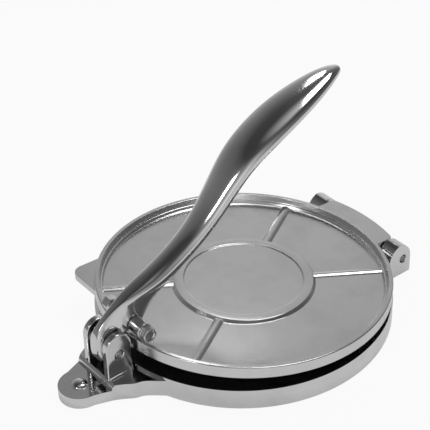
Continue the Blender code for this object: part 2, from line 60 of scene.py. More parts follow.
# Where the joints are
JOINTS = {joint["name"]: joint for joint in frame["joints"]}
PIVOT = Vector(JOINTS["lever_pivot"]["pos_m"])
HINGE = Vector(JOINTS["plate_hinge"]["pos_m"])
PLATE_OPEN_ANGLE = -math.radians(JOINTS["plate_hinge"]["range_deg"][0])

# Facets round a circle, and the angles above which an edge is bevelled and shaded sharp
ROUND_STEPS = 224
PIN_STEPS = 64
ARC_STEPS = 16
SHARP_ANGLE = math.radians(50)
SHADE_ANGLE = math.radians(35)

# Points that meet are merged, cutters reach past what they cut, and joined pieces reach into each other
MERGE_DISTANCE = 0.000005
OVERRUN = 0.002
JOIN_DEPTH = 0.001

# Lower plate
BASE_SKIN = 0.0045
BASE_WALL = 0.005
BASE_RIBS = 6
BASE_RIB_WIDTH = 0.004
BASE_RIB_HEIGHT = 0.006
CENTRE_BOSS_RADIUS = 0.012
RISER_Y = -0.121
RISER_RUN = 0.0014
RISER_FACET = 0.0017
NOSE_CENTRE_Y = -0.1336
NOSE_RADIUS = 0.0145
# The nose's side from its tip to the disc, as (half width, Y)
NOSE_SIDE = (
    (0.0162, -0.129),
    (0.018, -0.124),
    (0.0196, -0.1203),
    (0.0227, -0.1149),
    (0.0261, -0.1099),
    (0.0286, -0.1032),
    (0.0371, -0.0935),
)
DOME_RADIUS = 0.0053
DOME_HEIGHT = 0.0022
DOME_AHEAD = 0.0006
DOME_STEPS = 48

# Pins, collars and hexagons; a pin's end is told from its centre, as the share of its radius and the depth
PIN_END = ((0.22, 0.0002), (0.34, 0.0009), (0.58, 0.0009), (0.68, 0.0001), (0.78, 0.0001), (1, 0.0012))
BORE_CHAMFER = 0.0005
PIVOT_BORE_RADIUS = 0.0032
HINGE_BORE_RADIUS = 0.0029
ROLLER_EDGE = 0.0006
BOLT_RADIUS = 0.0025
SLIP = 0.0002
HEX_TURN = 0.35
HEX_EDGE = 0.00025
HEX_BEVEL_ANGLE = math.radians(40)
HEX_CORNER_SLOPE = 0.6
HEX_DISH_SHARE = 0.8
HEX_DISH_DEPTH = 0.0007
HEX_OVERLAP = 0.001

# Ears
FRONT_EAR_INNER_X = 0.0084
FRONT_EAR_OUTER_X = 0.0131
FRONT_EAR_RADIUS = 0.0096
FRONT_EAR_ROUND_Z = PIVOT.z + 0.0061
EAR_LEDGE_WIDTH = 0.0015
EAR_LEDGE_HEIGHT = 0.0014
REAR_EAR_INNER_X = 0.0315
REAR_EAR_OUTER_X = 0.0428
REAR_EAR_BACK_Y = 0.1152
REAR_EAR_ROUND = 0.0117
REAR_EAR_ROUND_Z = 0.0135
REAR_EAR_SWING = 0.0131

# Upper plate; the rim's inner side is told as (inwards, down from the rim's top), and the fillet at its foot
# as (inwards, above the floor)
PLATE_BOTTOM_Z = 0.0155
PLATE_FOOT_EDGE = 0.0006
RIM_EDGE = 0.0009
RIM_SIDE = ((0.0006, 0.0032), (0.0008, 0.0037), (0.0011, 0.0040), (0.0017, 0.0041), (0.0020, 0.0044))
RIM_FILLET = ((0.0024, 0.0006), (0.0028, 0.00015), (0.0034, 0))
# The pad's side as (outwards, above the floor), its edge and its recess as (outwards, below the pad's top)
PAD_SIDE = ((0.0022, 0), (0.0017, 0.0002))
PAD_EDGE = ((0.0005, 0.0003), (0, 0))
PAD_RECESS = ((0.0003, 0), (0, 0.0001), (-0.0006, 0.0006), (-0.0009, 0.0007))
HINGE_TAB_DROP = 0.0001
HINGE_TAB_EDGE = 0.0005
LIFT_TAB_EDGE = 0.0006
KNUCKLE_RADIUS = 0.0046
HINGE_TAB_HALF_WIDTH = 0.0305
HINGE_TAB_BACK_RADIUS = 0.113
HINGE_TAB_CORNER = 0.004
LIFT_TAB_X = -0.0782
LIFT_TAB_Y = -0.0872
LIFT_TAB_THICKNESS = 0.0045
LIFT_TAB_CORNER = 0.008
LIFT_TAB_FILLET = 0.0055

# Lever, from the pivot: the hub's and neck's sections, each as the outer and inner edge (forward, up), the
# half widths at the outer edge, the middle and the inner edge, where the middle is reached, and how square
NECK_SECTIONS = (
    ((-0.0084, -0.0063), (0.0066, -0.0063), (0.0048, 0.0054, 0.0048), 0.3, 0.5),
    ((-0.0099, -0.0054), (0.0081, -0.0054), (0.0056, 0.0062, 0.0058), 0.2, 0.35),
    ((-0.0102, 0.0), (0.0082, 0.0), (0.0056, 0.0062, 0.006), 0.2, 0.3),
    ((-0.0102, 0.0064), (0.0085, 0.0046), (0.0052, 0.0062, 0.006), 0.25, 0.3),
    ((-0.0101, 0.0116), (0.01, 0.0074), (0.0038, 0.0062, 0.0058), 0.3, 0.3),
    ((-0.0076, 0.0155), (0.0145, 0.0074), (0.0029, 0.0062, 0.0054), 0.4, 0.3),
    ((-0.0029, 0.0205), (0.02, 0.0074), (0.0027, 0.0062, 0.005), 0.5, 0.3),
    ((0.0023, 0.0245), (0.0247, 0.0084), (0.0029, 0.0062, 0.005), 0.5, 0.3),
    ((0.0076, 0.0276), (0.0267, 0.0126), (0.0036, 0.0062, 0.0052), 0.5, 0.3),
    ((0.013, 0.0308), (0.0293, 0.0172), (0.0049, 0.0064, 0.0056), 0.45, 0.35),
    ((0.02, 0.0334), (0.0335, 0.0214), (0.0064, 0.0072, 0.0062), 0.4, 0.45),
    ((0.028, 0.0366), (0.0385, 0.0256), (0.008, 0.0082, 0.0068), 0.4, 0.6),
)
# The stem's sections: centre (forward, up), half width and half thickness
STEM_SECTIONS = (
    ((0.0422, 0.0356), 0.0089, 0.0063),
    ((0.0558, 0.0433), 0.0091, 0.006),
    ((0.07, 0.0522), 0.0096, 0.006),
    ((0.0833, 0.0644), 0.0111, 0.0062),
    ((0.0941, 0.0772), 0.0125, 0.0065),
    ((0.1046, 0.0896), 0.0142, 0.0067),
    ((0.1156, 0.0985), 0.0155, 0.007),
    ((0.131, 0.1069), 0.0165, 0.007),
    ((0.1467, 0.1139), 0.016, 0.0067),
    ((0.1642, 0.1202), 0.0137, 0.006),
    ((0.182, 0.1261), 0.0089, 0.0048),
    ((0.1913, 0.1279), 0.0046, 0.0031),
    ((0.1943, 0.1282), 0.002, 0.0016),
)
STEM_START_SQUARENESS = 0.8
STEM_SQUARENESS = 0.9
SECTION_POINTS = 40
HUB_BORE_HALF_LENGTH = 0.009

Z_TO_X = Matrix(((0, 0, 1, 0), (1, 0, 0, 0), (0, 1, 0, 0), (0, 0, 0, 1)))

# Metal: patches, lines along a casting or round a pin, and specks, per metre, and how much each shows in the
# gloss and in the relief
PATCH_SCALE = 38
PATCH_STOPS = ((0.42, 0), (0.68, 1))
SPECK_SCALE = 900
GRAIN_ALONG_X = (160, 900, 900)
GRAIN_ACROSS_X = (900, 160, 160)
GRAIN_TURNED = (2600, 300, 300)
GLOSS_SHARES = (0.75, 0.35, 0.3)
RELIEF_SHARES = (0.6, 0.3, 0.1)
RELIEF_STRENGTH = 0.06
RELIEF_DEPTH = 0.0006
LEAST_ROUGHNESS = 0.02
STEEL_DULL_SHARE = 0.7

# Studio: the floor, how much of its white each kind of ray sees, and the world's brightness by height and
# by side
FLOOR_SIZE = 12
FLOOR_ROUGHNESS = 0.9
CAMERA_WHITE = 0.93
MIRROR_WHITE = 0.35
HEIGHT_STOPS = (
    (0, 0.85),
    (1, 0.5),
    (0.12, 0.9),
    (0.5, 0.5),
    (0.64, 0.36),
    (0.8, 0.12),
    (0.93, 0.1),
    (0.97, 0.3),
)
SIDE_STOPS = ((0, 0.25), (1, 0.12), (0.35, 0.5), (0.55, 1), (0.8, 0.3))
SIDE_DIRECTION = (0.6, 0.8)

# Lamps, as name, place, size and power, all turned to one spot
LIT_SPOT = Vector((0, 0, 0.06))
LAMPS = (
    ("softbox", (0.0, 0.55, 1.55), 0.6, 6),
    ("tip_box", (-0.27, 0.206, 0.48), 0.09, 0.16),
    ("front_box", (0.3, -1.36, 0.92), 0.3, 2.5),
)

# Camera
CAMERA_AZIMUTH = math.radians(51.33)
CAMERA_ELEVATION = math.radians(38.9)
CAMERA_ROLL = math.radians(-1.15)
CAMERA_DISTANCE = 1.0
FOCAL_PIXELS = 1464.4
FRAME_PIXELS = 430
ORIGIN_PIXEL = (241.75, 307.89)
SENSOR_WIDTH = 36


class PlateSettings(bpy.types.PropertyGroup):
    """Sizes of the upper plate."""

    radius: FloatProperty(
        name="Radius", description="Radius of the upper plate", default=0.1, unit="LENGTH"
    )
    height: FloatProperty(
        name="Height", description="Height of the plate's rim", default=0.0085, unit="LENGTH"
    )
    floor: FloatProperty(
        name="Floor", description="Thickness inside the rim", default=0.0026, unit="LENGTH"
    )
    rim_width: FloatProperty(
        name="Rim Width", description="Width of the rim's top", default=0.0032, unit="LENGTH"
    )
    pad_radius: FloatProperty(
        name="Pad Radius", description="Radius of the raised pad", default=0.0465, unit="LENGTH"
    )
    pad_height: FloatProperty(
        name="Pad Height", description="Height of the raised pad", default=0.002, unit="LENGTH"
    )
    recess_radius: FloatProperty(
        name="Recess Radius", description="Radius of the pad's shallow recess", default=0.0406, unit="LENGTH"
    )
    rib_width: FloatProperty(
        name="Rib Width", description="Width of each rib", default=0.0066, unit="LENGTH"
    )
    rib_height: FloatProperty(
        name="Rib Height", description="Height of each rib", default=0.0013, unit="LENGTH"
    )
    rib_angle: FloatProperty(
        name="Rib Angle",
        description="Angle between a rib and the press's long axis",
        default=math.radians(31.2),
        unit="ROTATION",
    )


class BaseSettings(bpy.types.PropertyGroup):
    """Sizes of the lower plate."""

    radius: FloatProperty(
        name="Radius", description="Radius of the lower plate", default=0.1005, unit="LENGTH"
    )
    height: FloatProperty(
        name="Height", description="Height of the lower plate", default=0.0145, unit="LENGTH"
    )
    deck_height: FloatProperty(
        name="Deck Height", description="Height of the deck under the ears", default=0.0122, unit="LENGTH"
    )
    nose_height: FloatProperty(
        name="Nose Height", description="Height of the nose", default=0.0081, unit="LENGTH"
    )
    edge: FloatProperty(
        name="Edge", description="Rounding of the casting's edges", default=0.0009, unit="LENGTH"
    )
    ear_edge: FloatProperty(
        name="Ear Edge", description="Rounding of the ears' edges", default=0.0009, unit="LENGTH"
    )


class FinishSettings(bpy.types.PropertyGroup):
    """Colours and gloss of the metals."""

    aluminium: FloatVectorProperty(
        name="Aluminium",
        description="Colour of the castings",
        subtype="COLOR",
        default=(0.8, 0.8, 0.805),
    )
    aluminium_dull: FloatVectorProperty(
        name="Dull Aluminium",
        description="Colour where the polish is thin",
        subtype="COLOR",
        default=(0.72, 0.72, 0.725),
    )
    steel: FloatVectorProperty(
        name="Steel",
        description="Colour of the pins",
        subtype="COLOR",
        default=(0.62, 0.62, 0.63),
    )
    bright: FloatVectorProperty(
        name="Bright Steel",
        description="Colour of rollers and hexagons",
        subtype="COLOR",
        default=(0.78, 0.78, 0.79),
    )
    steel_gloss: FloatProperty(
        name="Steel Gloss", description="Roughness of the steel", default=0.2, subtype="FACTOR"
    )
    polish: FloatProperty(
        name="Polish", description="Roughness of polished castings", default=0.1, subtype="FACTOR"
    )
    satin: FloatProperty(
        name="Satin", description="Roughness of the upper plate", default=0.2, subtype="FACTOR"
    )
    floor: FloatVectorProperty(
        name="Floor",
        description="Colour of the floor",
        subtype="COLOR",
        default=(0.9, 0.9, 0.9),
    )


class Signal:
    """A shader value that sums and products can be written with."""

    def __init__(self, web, socket):
        self.web = web
        self.socket = socket

    def maths(self, operation, first, second):
        node = self.web.add("ShaderNodeMath", {"operation": operation}, {0: first, 1: second})
        return Signal(self.web, node.outputs[0])

    def __add__(self, other):
        return self.maths("ADD", self, other)

    def __radd__(self, other):
        return self.maths("ADD", other, self)

    def __mul__(self, other):
        return self.maths("MULTIPLY", self, other)

    def __rmul__(self, other):
        return self.maths("MULTIPLY", other, self)

    def at_least(self, low):
        return self.maths("MAXIMUM", self, low)


class Web:
    """A material's or the world's nodes."""

    def __init__(self, owner):
        owner.use_nodes = True
        self.tree = owner.node_tree

    def add(self, kind, settings=None, sockets=None):
        """A node with its settings, a ramp's stops among them, and the values or links of its sockets."""
        node = self.tree.nodes.new(kind)
        for name, value in (settings or {}).items():
            if name == "stops":
                ramp = node.color_ramp
                for index, (place, level) in enumerate(value):
                    stop = ramp.elements[index] if index < 2 else ramp.elements.new(place)
                    stop.position = place
                    stop.color = (level, level, level, 1)
            else:
                setattr(node, name, value)
        for name, value in (sockets or {}).items():
            self.put(node.inputs[name], value)
        return node

    def put(self, socket, value):
        if isinstance(value, Signal):
            self.tree.links.new(value.socket, socket)
        elif isinstance(value, bpy.types.NodeSocket):
            self.tree.links.new(value, socket)
        else:
            socket.default_value = value

    def find(self, name):
        return self.tree.nodes[name]

    def signal(self, socket):
        return Signal(self, socket)


def cast_metal(name, color, dull, roughness, grain):
    """Polished metal with faint waves of the casting, polishing lines and patches with a thinner polish."""
    material = bpy.data.materials.new(name)
    web = Web(material)
    shader = web.find("Principled BSDF")
    place = web.add("ShaderNodeTexCoord").outputs["Object"]
    patches = web.add(
        "ShaderNodeTexNoise", {}, {"Vector": place, "Scale": PATCH_SCALE, "Detail": 4, "Roughness": 0.55}
    )
    stretch = web.add("ShaderNodeMapping", {}, {"Vector": place, "Scale": grain})
    lines = web.add("ShaderNodeTexNoise", {}, {"Vector": stretch.outputs[0], "Scale": 1, "Detail": 3})
    specks = web.add("ShaderNodeTexNoise", {}, {"Vector": place, "Scale": SPECK_SCALE, "Detail": 2})
    patch, line, speck = (web.signal(noise.outputs[0]) for noise in (patches, lines, specks))
    thin = web.add("ShaderNodeValToRGB", {"stops": PATCH_STOPS}, {0: patch})
    tint = web.add(
        "ShaderNodeMix",
        {"data_type": "RGBA"},
        {0: thin.outputs[0], 6: (*color, 1), 7: (*dull, 1)},
    )
    web.put(shader.inputs["Base Color"], tint.outputs[2])
    web.put(shader.inputs["Metallic"], 1)
    plain, by_patch, by_line = GLOSS_SHARES
    gloss = roughness * (plain + by_patch * patch + by_line * line)
    web.put(shader.inputs["Roughness"], gloss.at_least(LEAST_ROUGHNESS))
    by_patch, by_line, by_speck = RELIEF_SHARES
    relief = patch * by_patch + line * by_line + speck * by_speck
    bump = web.add(
        "ShaderNodeBump", {}, {"Strength": RELIEF_STRENGTH, "Distance": RELIEF_DEPTH, "Height": relief}
    )
    web.put(shader.inputs["Normal"], bump.outputs[0])
    return material


def steel_metal(name, color, roughness):
    """Turned steel with fine rings of the tool and darker specks."""
    return cast_metal(name, color, tuple(STEEL_DULL_SHARE * part for part in color), roughness, GRAIN_TURNED)


def deselect():
    if bpy.context.object and bpy.context.object.mode != "OBJECT":
        bpy.ops.object.mode_set(mode="OBJECT")
    bpy.ops.object.select_all(action="DESELECT")


def pick(item):
    deselect()
    item.select_set(True)
    bpy.context.view_layer.objects.active = item
    return item


def edited(item, *steps):
    """Runs edit-mode steps on all of a piece."""
    pick(item)
    bpy.ops.object.mode_set(mode="EDIT")
    bpy.ops.mesh.select_all(action="SELECT")
    for step in steps:
        step()
    bpy.ops.object.mode_set(mode="OBJECT")
    return item


def welded(item):
    return edited(
        item,
        lambda: bpy.ops.mesh.remove_doubles(threshold=MERGE_DISTANCE),
        lambda: bpy.ops.mesh.normals_make_consistent(inside=False),
    )


def modified(item, kind, **settings):
    """The piece with one modifier applied."""
    pick(item)
    modifier = item.modifiers.new(kind.lower(), kind)
    for name, value in settings.items():
        setattr(modifier, name, value)
    bpy.ops.object.modifier_apply(modifier=modifier.name)
    return item


def rounded(item, width, segments=3, angle=SHARP_ANGLE):
    return modified(item, "BEVEL", width=width, segments=segments, limit_method="ANGLE", angle_limit=angle)


def combined(item, operation, others):
    for other in others:
        modified(item, "BOOLEAN", operation=operation, object=other, solver="EXACT")
        bpy.data.objects.remove(other, do_unlink=True)
        edited(
            item,
            lambda: bpy.ops.mesh.remove_doubles(threshold=MERGE_DISTANCE),
            lambda: bpy.ops.mesh.dissolve_degenerate(threshold=MERGE_DISTANCE),
        )
    return item


def joined(item, *others):
    return combined(item, "UNION", others)


def cut(item, *others):
    return combined(item, "DIFFERENCE", others)


def moved(item, matrix):
    """The piece turned or moved, with its place in its mesh."""
    pick(item)
    item.matrix_world = matrix @ item.matrix_world
    bpy.ops.object.transform_apply(location=True, rotation=True, scale=True)
    return item


def slab(name, outline, low, high, axis="Z"):
    """A flat outline, drawn by moving the points of a filled circle, extruded along Z, or along X."""
    deselect()
    bpy.ops.mesh.primitive_circle_add(vertices=len(outline), radius=1, fill_type="NGON")
    item = bpy.context.object
    item.name = name
    for vertex, (across, along) in zip(item.data.vertices, outline):
        vertex.co = (across, along, low)
    rise = {"value": (0, 0, high - low)}
    edited(item, lambda: bpy.ops.mesh.extrude_region_move(TRANSFORM_OT_translate=rise))
    welded(item)
    if axis == "X":
        moved(item, Z_TO_X)
    return item


def centre_of(name):
    low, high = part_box(name)
    return (low + high) / 2


def radius_of(name):
    low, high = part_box(name)
    return (high.y - low.y) / 2


def block(name, low, high):
    deselect()
    low = Vector(low)
    size = Vector(high) - low
    bpy.ops.mesh.primitive_cube_add(size=1, location=low + size / 2)
    item = bpy.context.object
    item.name = name
    item.scale = size
    return moved(item, Matrix.Identity(4))


def rod(name, radius, low_x, high_x, y, z, steps=PIN_STEPS):
    """A cylinder along X."""
    deselect()
    bpy.ops.mesh.primitive_cylinder_add(
        vertices=steps,
        radius=radius,
        depth=high_x - low_x,
        location=((low_x + high_x) / 2, y, z),
        rotation=(0, math.pi / 2, 0),
    )
    item = bpy.context.object
    item.name = name
    return moved(item, Matrix.Identity(4))


def turned(name, profile, steps=ROUND_STEPS):
    """A solid turned about Z: a filled circle extruded and resized along (radius, height) points."""
    deselect()
    radius, height = profile[0]
    bpy.ops.mesh.primitive_circle_add(
        vertices=steps, radius=radius, fill_type="NGON", location=(0, 0, height)
    )
    item = bpy.context.object
    item.name = name
    pick(item)
    bpy.ops.object.transform_apply(location=True)
    bpy.ops.object.mode_set(mode="EDIT")
    bpy.ops.mesh.select_all(action="SELECT")
    for next_radius, next_height in profile[1:]:
        rise = {"value": (0, 0, next_height - height)}
        bpy.ops.mesh.extrude_region_move(TRANSFORM_OT_translate=rise)
        share = next_radius / radius
        bpy.ops.transform.resize(value=(share, share, 1), center_override=(0, 0, 0))
        radius, height = next_radius, next_height
    bpy.ops.object.mode_set(mode="OBJECT")
    return welded(item)


def arc(centre, radius, start, end, steps=ARC_STEPS):
    turns = [math.radians(start + (end - start) * index / steps) for index in range(steps + 1)]
    return [(centre[0] + radius * math.cos(turn), centre[1] + radius * math.sin(turn)) for turn in turns]


def angle_of(point):
    return math.degrees(math.atan2(point[1], point[0]))


def smooth_line(points, steps=4):
    """Points on a smooth curve through the given ones."""
    line = []
    for index in range(len(points) - 1):
        around = [max(0, min(len(points) - 1, index + offset)) for offset in (-1, 0, 1, 2)]
        a, b, c, d = (Vector(points[place]) for place in around)
        for step in range(steps):
            t = step / steps
            bend = (2 * a - 5 * b + 4 * c - d) * t**2
            spot = 2 * b + (c - a) * t + bend + (3 * b - a - 3 * c + d) * t**3
            line.append(tuple(spot / 2))
    return line + [tuple(points[-1])]


def finish(item, name, body, nodes, material):
    """Names a finished piece, shades it, and lets it ride and stand for its CAD nodes."""
    item.name = name
    item.data.name = name
    item.data.materials.clear()
    item.data.materials.append(material)
    pick(item)
    bpy.ops.object.shade_smooth_by_angle(angle=SHADE_ANGLE)
    modified(item, "WEIGHTED_NORMAL", keep_sharp=True)
    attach(item, body)
    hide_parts(*nodes)
    return item


def nose_line():
    """Half of the nose's outline, from the tip to the disc, as (half width, Y)."""
    tip = arc((0, NOSE_CENTRE_Y), NOSE_RADIUS, -90, 0, 20)
    return tip + smooth_line((tip[-1], *NOSE_SIDE))[1:]


def base_outline(radius):
    line = nose_line()
    start = angle_of(line[-1])
    disc = arc((0, 0), radius, start, 180 - start, ROUND_STEPS)
    return line[:-1] + disc + [(-x, y) for x, y in reversed(line[1:-1])]


def front_ear(side, base):
    foot_z = base.deck_height - JOIN_DEPTH
    y = PIVOT.y
    outline = [(y - FRONT_EAR_RADIUS, foot_z), (y + FRONT_EAR_RADIUS, foot_z)]
    outline += arc((y, FRONT_EAR_ROUND_Z), FRONT_EAR_RADIUS, 0, 180, 40)
    low_x, high_x = sorted((side * FRONT_EAR_INNER_X, side * FRONT_EAR_OUTER_X))
    ear = rounded(slab("ear", outline, low_x, high_x, "X"), base.ear_edge, 4)
    half = FRONT_EAR_RADIUS - EAR_LEDGE_WIDTH / 2
    faces = (FRONT_EAR_INNER_X + EAR_LEDGE_WIDTH, FRONT_EAR_OUTER_X + EAR_LEDGE_WIDTH)
    low_x, high_x = sorted(side * face for face in faces)
    ledge_top = base.deck_height + EAR_LEDGE_HEIGHT
    ledge = block("ledge", (low_x, y - half, foot_z), (high_x, y + half, ledge_top))
    return joined(ear, rounded(ledge, base.ear_edge / 2))


def rear_ear(side, base):
    round_y = REAR_EAR_BACK_Y - REAR_EAR_ROUND
    top_z = REAR_EAR_ROUND_Z + REAR_EAR_ROUND
    start = math.degrees(math.atan2(top_z - HINGE.z, round_y - HINGE.y))
    end = 180 - math.degrees(math.asin((base.height - HINGE.z) / REAR_EAR_SWING))
    inner_y = math.sqrt(base.radius**2 - REAR_EAR_OUTER_X**2) - BASE_WALL / 2
    outline = [(inner_y, 0), (REAR_EAR_BACK_Y, 0)]
    outline += arc((round_y, REAR_EAR_ROUND_Z), REAR_EAR_ROUND, 0, 90, 24)
    outline += arc((HINGE.y, HINGE.z), REAR_EAR_SWING, start, end)
    outline += [(inner_y, base.height)]
    low_x, high_x = sorted((side * REAR_EAR_INNER_X, side * REAR_EAR_OUTER_X))
    return rounded(slab("rear_ear", outline, low_x, high_x, "X"), base.ear_edge, 4)


def drilled(item, radius, half_length, place):
    return cut(item, rod("bore", radius, -half_length - OVERRUN, half_length + OVERRUN, place.y, place.z))


def chamfered_bore(item, radius, half_length, place):
    """A bore through both ears, widened at their outer faces."""
    wide = radius + BORE_CHAMFER
    inner = half_length - BORE_CHAMFER
    end = half_length + OVERRUN
    near = ((radius, inner), (wide, half_length), (wide, end))
    profile = [(across, -along) for across, along in reversed(near)] + list(near)
    return cut(item, laid(turned("bore", profile, PIN_STEPS), place))


def step_cutter(base):
    """What is cut away above the nose and above the deck in front of the disc."""
    front = NOSE_CENTRE_Y - 2 * NOSE_RADIUS
    top = base.height + OVERRUN
    outline = [
        (front, base.nose_height),
        (RISER_Y - RISER_RUN, base.nose_height),
        (RISER_Y - RISER_FACET / 2, base.deck_height - RISER_FACET),
        (RISER_Y + RISER_FACET / 2, base.deck_height),
        (NOSE_SIDE[-1][1] + OVERRUN, base.deck_height),
        (NOSE_SIDE[-1][1] + OVERRUN, top),
        (front, top),
    ]
    cutter = slab("step", outline, -3 * NOSE_RADIUS, 3 * NOSE_RADIUS, "X")
    return cut(cutter, turned("disc", ((base.radius, 0), (base.radius, top + OVERRUN))))


class PRESS_OT_lower_plate(bpy.types.Operator):
    """Builds the lower plate with its nose, ears and ribbed underside."""

    bl_idname = "press.lower_plate"
    bl_label = "Build Lower Plate"

    def execute(self, context):
        base = context.scene.press_base
        look = context.scene.press_finish
        plate = slab("lower_plate", base_outline(base.radius), 0, base.height)
        cut(plate, step_cutter(base))
        rounded(plate, base.edge)
        deselect()
        bpy.ops.mesh.primitive_uv_sphere_add(
            segments=DOME_STEPS,
            ring_count=DOME_STEPS // 2,
            radius=1,
            location=(0, NOSE_CENTRE_Y - DOME_AHEAD, base.nose_height),
        )
        dome = bpy.context.object
        dome.scale = (DOME_RADIUS, DOME_RADIUS, DOME_HEIGHT)
        joined(plate, moved(dome, Matrix.Identity(4)))
        top = base.height - BASE_SKIN
        inner = base.radius - BASE_WALL
        cut(plate, turned("hollow", ((inner, -OVERRUN), (inner, top))))
        for index in range(BASE_RIBS):
            rib = block(
                "rib",
                (0, -BASE_RIB_WIDTH / 2, top - BASE_RIB_HEIGHT),
                (inner + JOIN_DEPTH, BASE_RIB_WIDTH / 2, top + JOIN_DEPTH),
            )
            joined(plate, moved(rib, Matrix.Rotation(math.tau * (index + 0.5) / BASE_RIBS, 4, "Z")))
        boss_profile = ((CENTRE_BOSS_RADIUS, 0), (CENTRE_BOSS_RADIUS, top + JOIN_DEPTH))
        joined(plate, turned("boss", boss_profile, PIN_STEPS))
        joined(plate, *[ear(side, base) for ear in (front_ear, rear_ear) for side in (1, -1)])
        chamfered_bore(plate, PIVOT_BORE_RADIUS, FRONT_EAR_OUTER_X, PIVOT)
        chamfered_bore(plate, HINGE_BORE_RADIUS, REAR_EAR_OUTER_X, HINGE)
        metal = cast_metal("polished_base", look.aluminium, look.aluminium_dull, look.polish, GRAIN_ALONG_X)
        finish(plate, "lower_plate", "base", ["base_casting"], metal)
        return {"FINISHED"}


def pan_profile(plate):
    """The upper plate's turned profile, from its underside over the rim to the pad."""
    top = PLATE_BOTTOM_Z + plate.height
    floor = PLATE_BOTTOM_Z + plate.floor
    pad = floor + plate.pad_height
    inner = plate.radius - plate.rim_width
    profile = [(plate.radius - PLATE_FOOT_EDGE, PLATE_BOTTOM_Z)]
    profile += [(plate.radius, PLATE_BOTTOM_Z + PLATE_FOOT_EDGE)]
    profile += arc((plate.radius - RIM_EDGE, top - RIM_EDGE), RIM_EDGE, 0, 80, 8)
    profile += arc((inner + RIM_EDGE / 2, top - RIM_EDGE / 2), RIM_EDGE / 2, 90, 165, 6)
    profile += [(inner - inwards, top - down) for inwards, down in RIM_SIDE]
    profile += [(inner - inwards, floor + up) for inwards, up in RIM_FILLET]
    profile += [(plate.pad_radius + outwards, floor + up) for outwards, up in PAD_SIDE]
    profile += [(plate.pad_radius + outwards, pad - down) for outwards, down in PAD_EDGE]
    profile += [(plate.recess_radius + outwards, pad - down) for outwards, down in PAD_RECESS]
    return profile


def pan_rib(plate, angle):
    radius = (plate.rib_width**2 / 4 + plate.rib_height**2) / (2 * plate.rib_height)
    half = math.degrees(math.asin(plate.rib_width / 2 / radius))
    floor = PLATE_BOTTOM_Z + plate.floor
    outline = arc((0, floor + plate.rib_height - radius), radius, 90 - half, 90 + half, 20)
    outline += [(-plate.rib_width / 2, floor - JOIN_DEPTH), (plate.rib_width / 2, floor - JOIN_DEPTH)]
    rib = slab("rib", outline, plate.pad_radius, plate.radius - plate.rim_width, "X")
    return moved(rib, Matrix.Rotation(angle, 4, "Z"))


def lift_tab(plate):
    """Square tab with a rounded corner and hollow fillets where it meets the rim."""
    reach = plate.radius + LIFT_TAB_FILLET
    side = (LIFT_TAB_X - LIFT_TAB_FILLET, 0)
    side = (side[0], -math.sqrt(reach**2 - side[0] ** 2))
    front = (0, LIFT_TAB_Y - LIFT_TAB_FILLET)
    front = (-math.sqrt(reach**2 - front[1] ** 2), front[1])
    corner = (LIFT_TAB_X + LIFT_TAB_CORNER, LIFT_TAB_Y + LIFT_TAB_CORNER)
    outline = arc(side, LIFT_TAB_FILLET, angle_of((-side[0], -side[1])), 0, 8)
    outline += arc(corner, LIFT_TAB_CORNER, 180, 270)
    outline += arc(front, LIFT_TAB_FILLET, 90, angle_of((-front[0], -front[1])), 8)
    inner = plate.radius - plate.rim_width / 2
    outline += arc((0, 0), inner, angle_of(front) - 1, angle_of(side) + 1)
    tab = slab("tab", outline, PLATE_BOTTOM_Z, PLATE_BOTTOM_Z + LIFT_TAB_THICKNESS)
    return rounded(tab, LIFT_TAB_EDGE)


def hinge_tab(plate):
    inner = plate.radius - plate.rim_width / 2
    half = HINGE_TAB_HALF_WIDTH
    inner_turn = math.degrees(math.acos(half / inner))
    reach = HINGE_TAB_BACK_RADIUS - HINGE_TAB_CORNER
    corner = (half - HINGE_TAB_CORNER, math.sqrt(reach**2 - (half - HINGE_TAB_CORNER) ** 2))
    side = arc((0, 0), inner, 90, inner_turn) + arc(corner, HINGE_TAB_CORNER, 0, angle_of(corner))
    side += arc((0, 0), HINGE_TAB_BACK_RADIUS, angle_of(corner), 90)[1:]
    outline = side + [(-x, y) for x, y in reversed(side[1:-1])]
    tab = slab("tab", outline, PLATE_BOTTOM_Z, PLATE_BOTTOM_Z + plate.height - HINGE_TAB_DROP)
    turns = arc((HINGE.y, HINGE.z), KNUCKLE_RADIUS, 180, 360, 32)
    turns += [(HINGE.y + KNUCKLE_RADIUS, PLATE_BOTTOM_Z + JOIN_DEPTH)]
    turns += [(HINGE.y - KNUCKLE_RADIUS, PLATE_BOTTOM_Z + JOIN_DEPTH)]
    return joined(rounded(tab, HINGE_TAB_EDGE), slab("knuckle", turns, -half, half, "X"))


class PRESS_OT_upper_plate(bpy.types.Operator):
    """Builds the upper plate: a shallow pan with a pad, four ribs, a lift tab and a hinge tab."""

    bl_idname = "press.upper_plate"
    bl_label = "Build Upper Plate"

    def execute(self, context):
        plate = context.scene.press_plate
        look = context.scene.press_finish
        pan = turned("pan", pan_profile(plate))
        right = math.pi / 2
        angles = [turn + sign * plate.rib_angle for turn in (right, -right) for sign in (1, -1)]
        joined(pan, *[pan_rib(plate, angle) for angle in angles])
        joined(pan, lift_tab(plate), hinge_tab(plate))
        drilled(pan, HINGE_BORE_RADIUS, HINGE_TAB_HALF_WIDTH, HINGE)
        to_hinge = Matrix.Translation(HINGE)
        moved(pan, to_hinge @ Matrix.Rotation(-PLATE_OPEN_ANGLE, 4, "X") @ to_hinge.inverted())
        metal = cast_metal("satin_plate", look.aluminium, look.aluminium_dull, look.satin, GRAIN_ALONG_X)
        finish(pan, "upper_plate", "plate", ["top_plate"], metal)
        return {"FINISHED"}


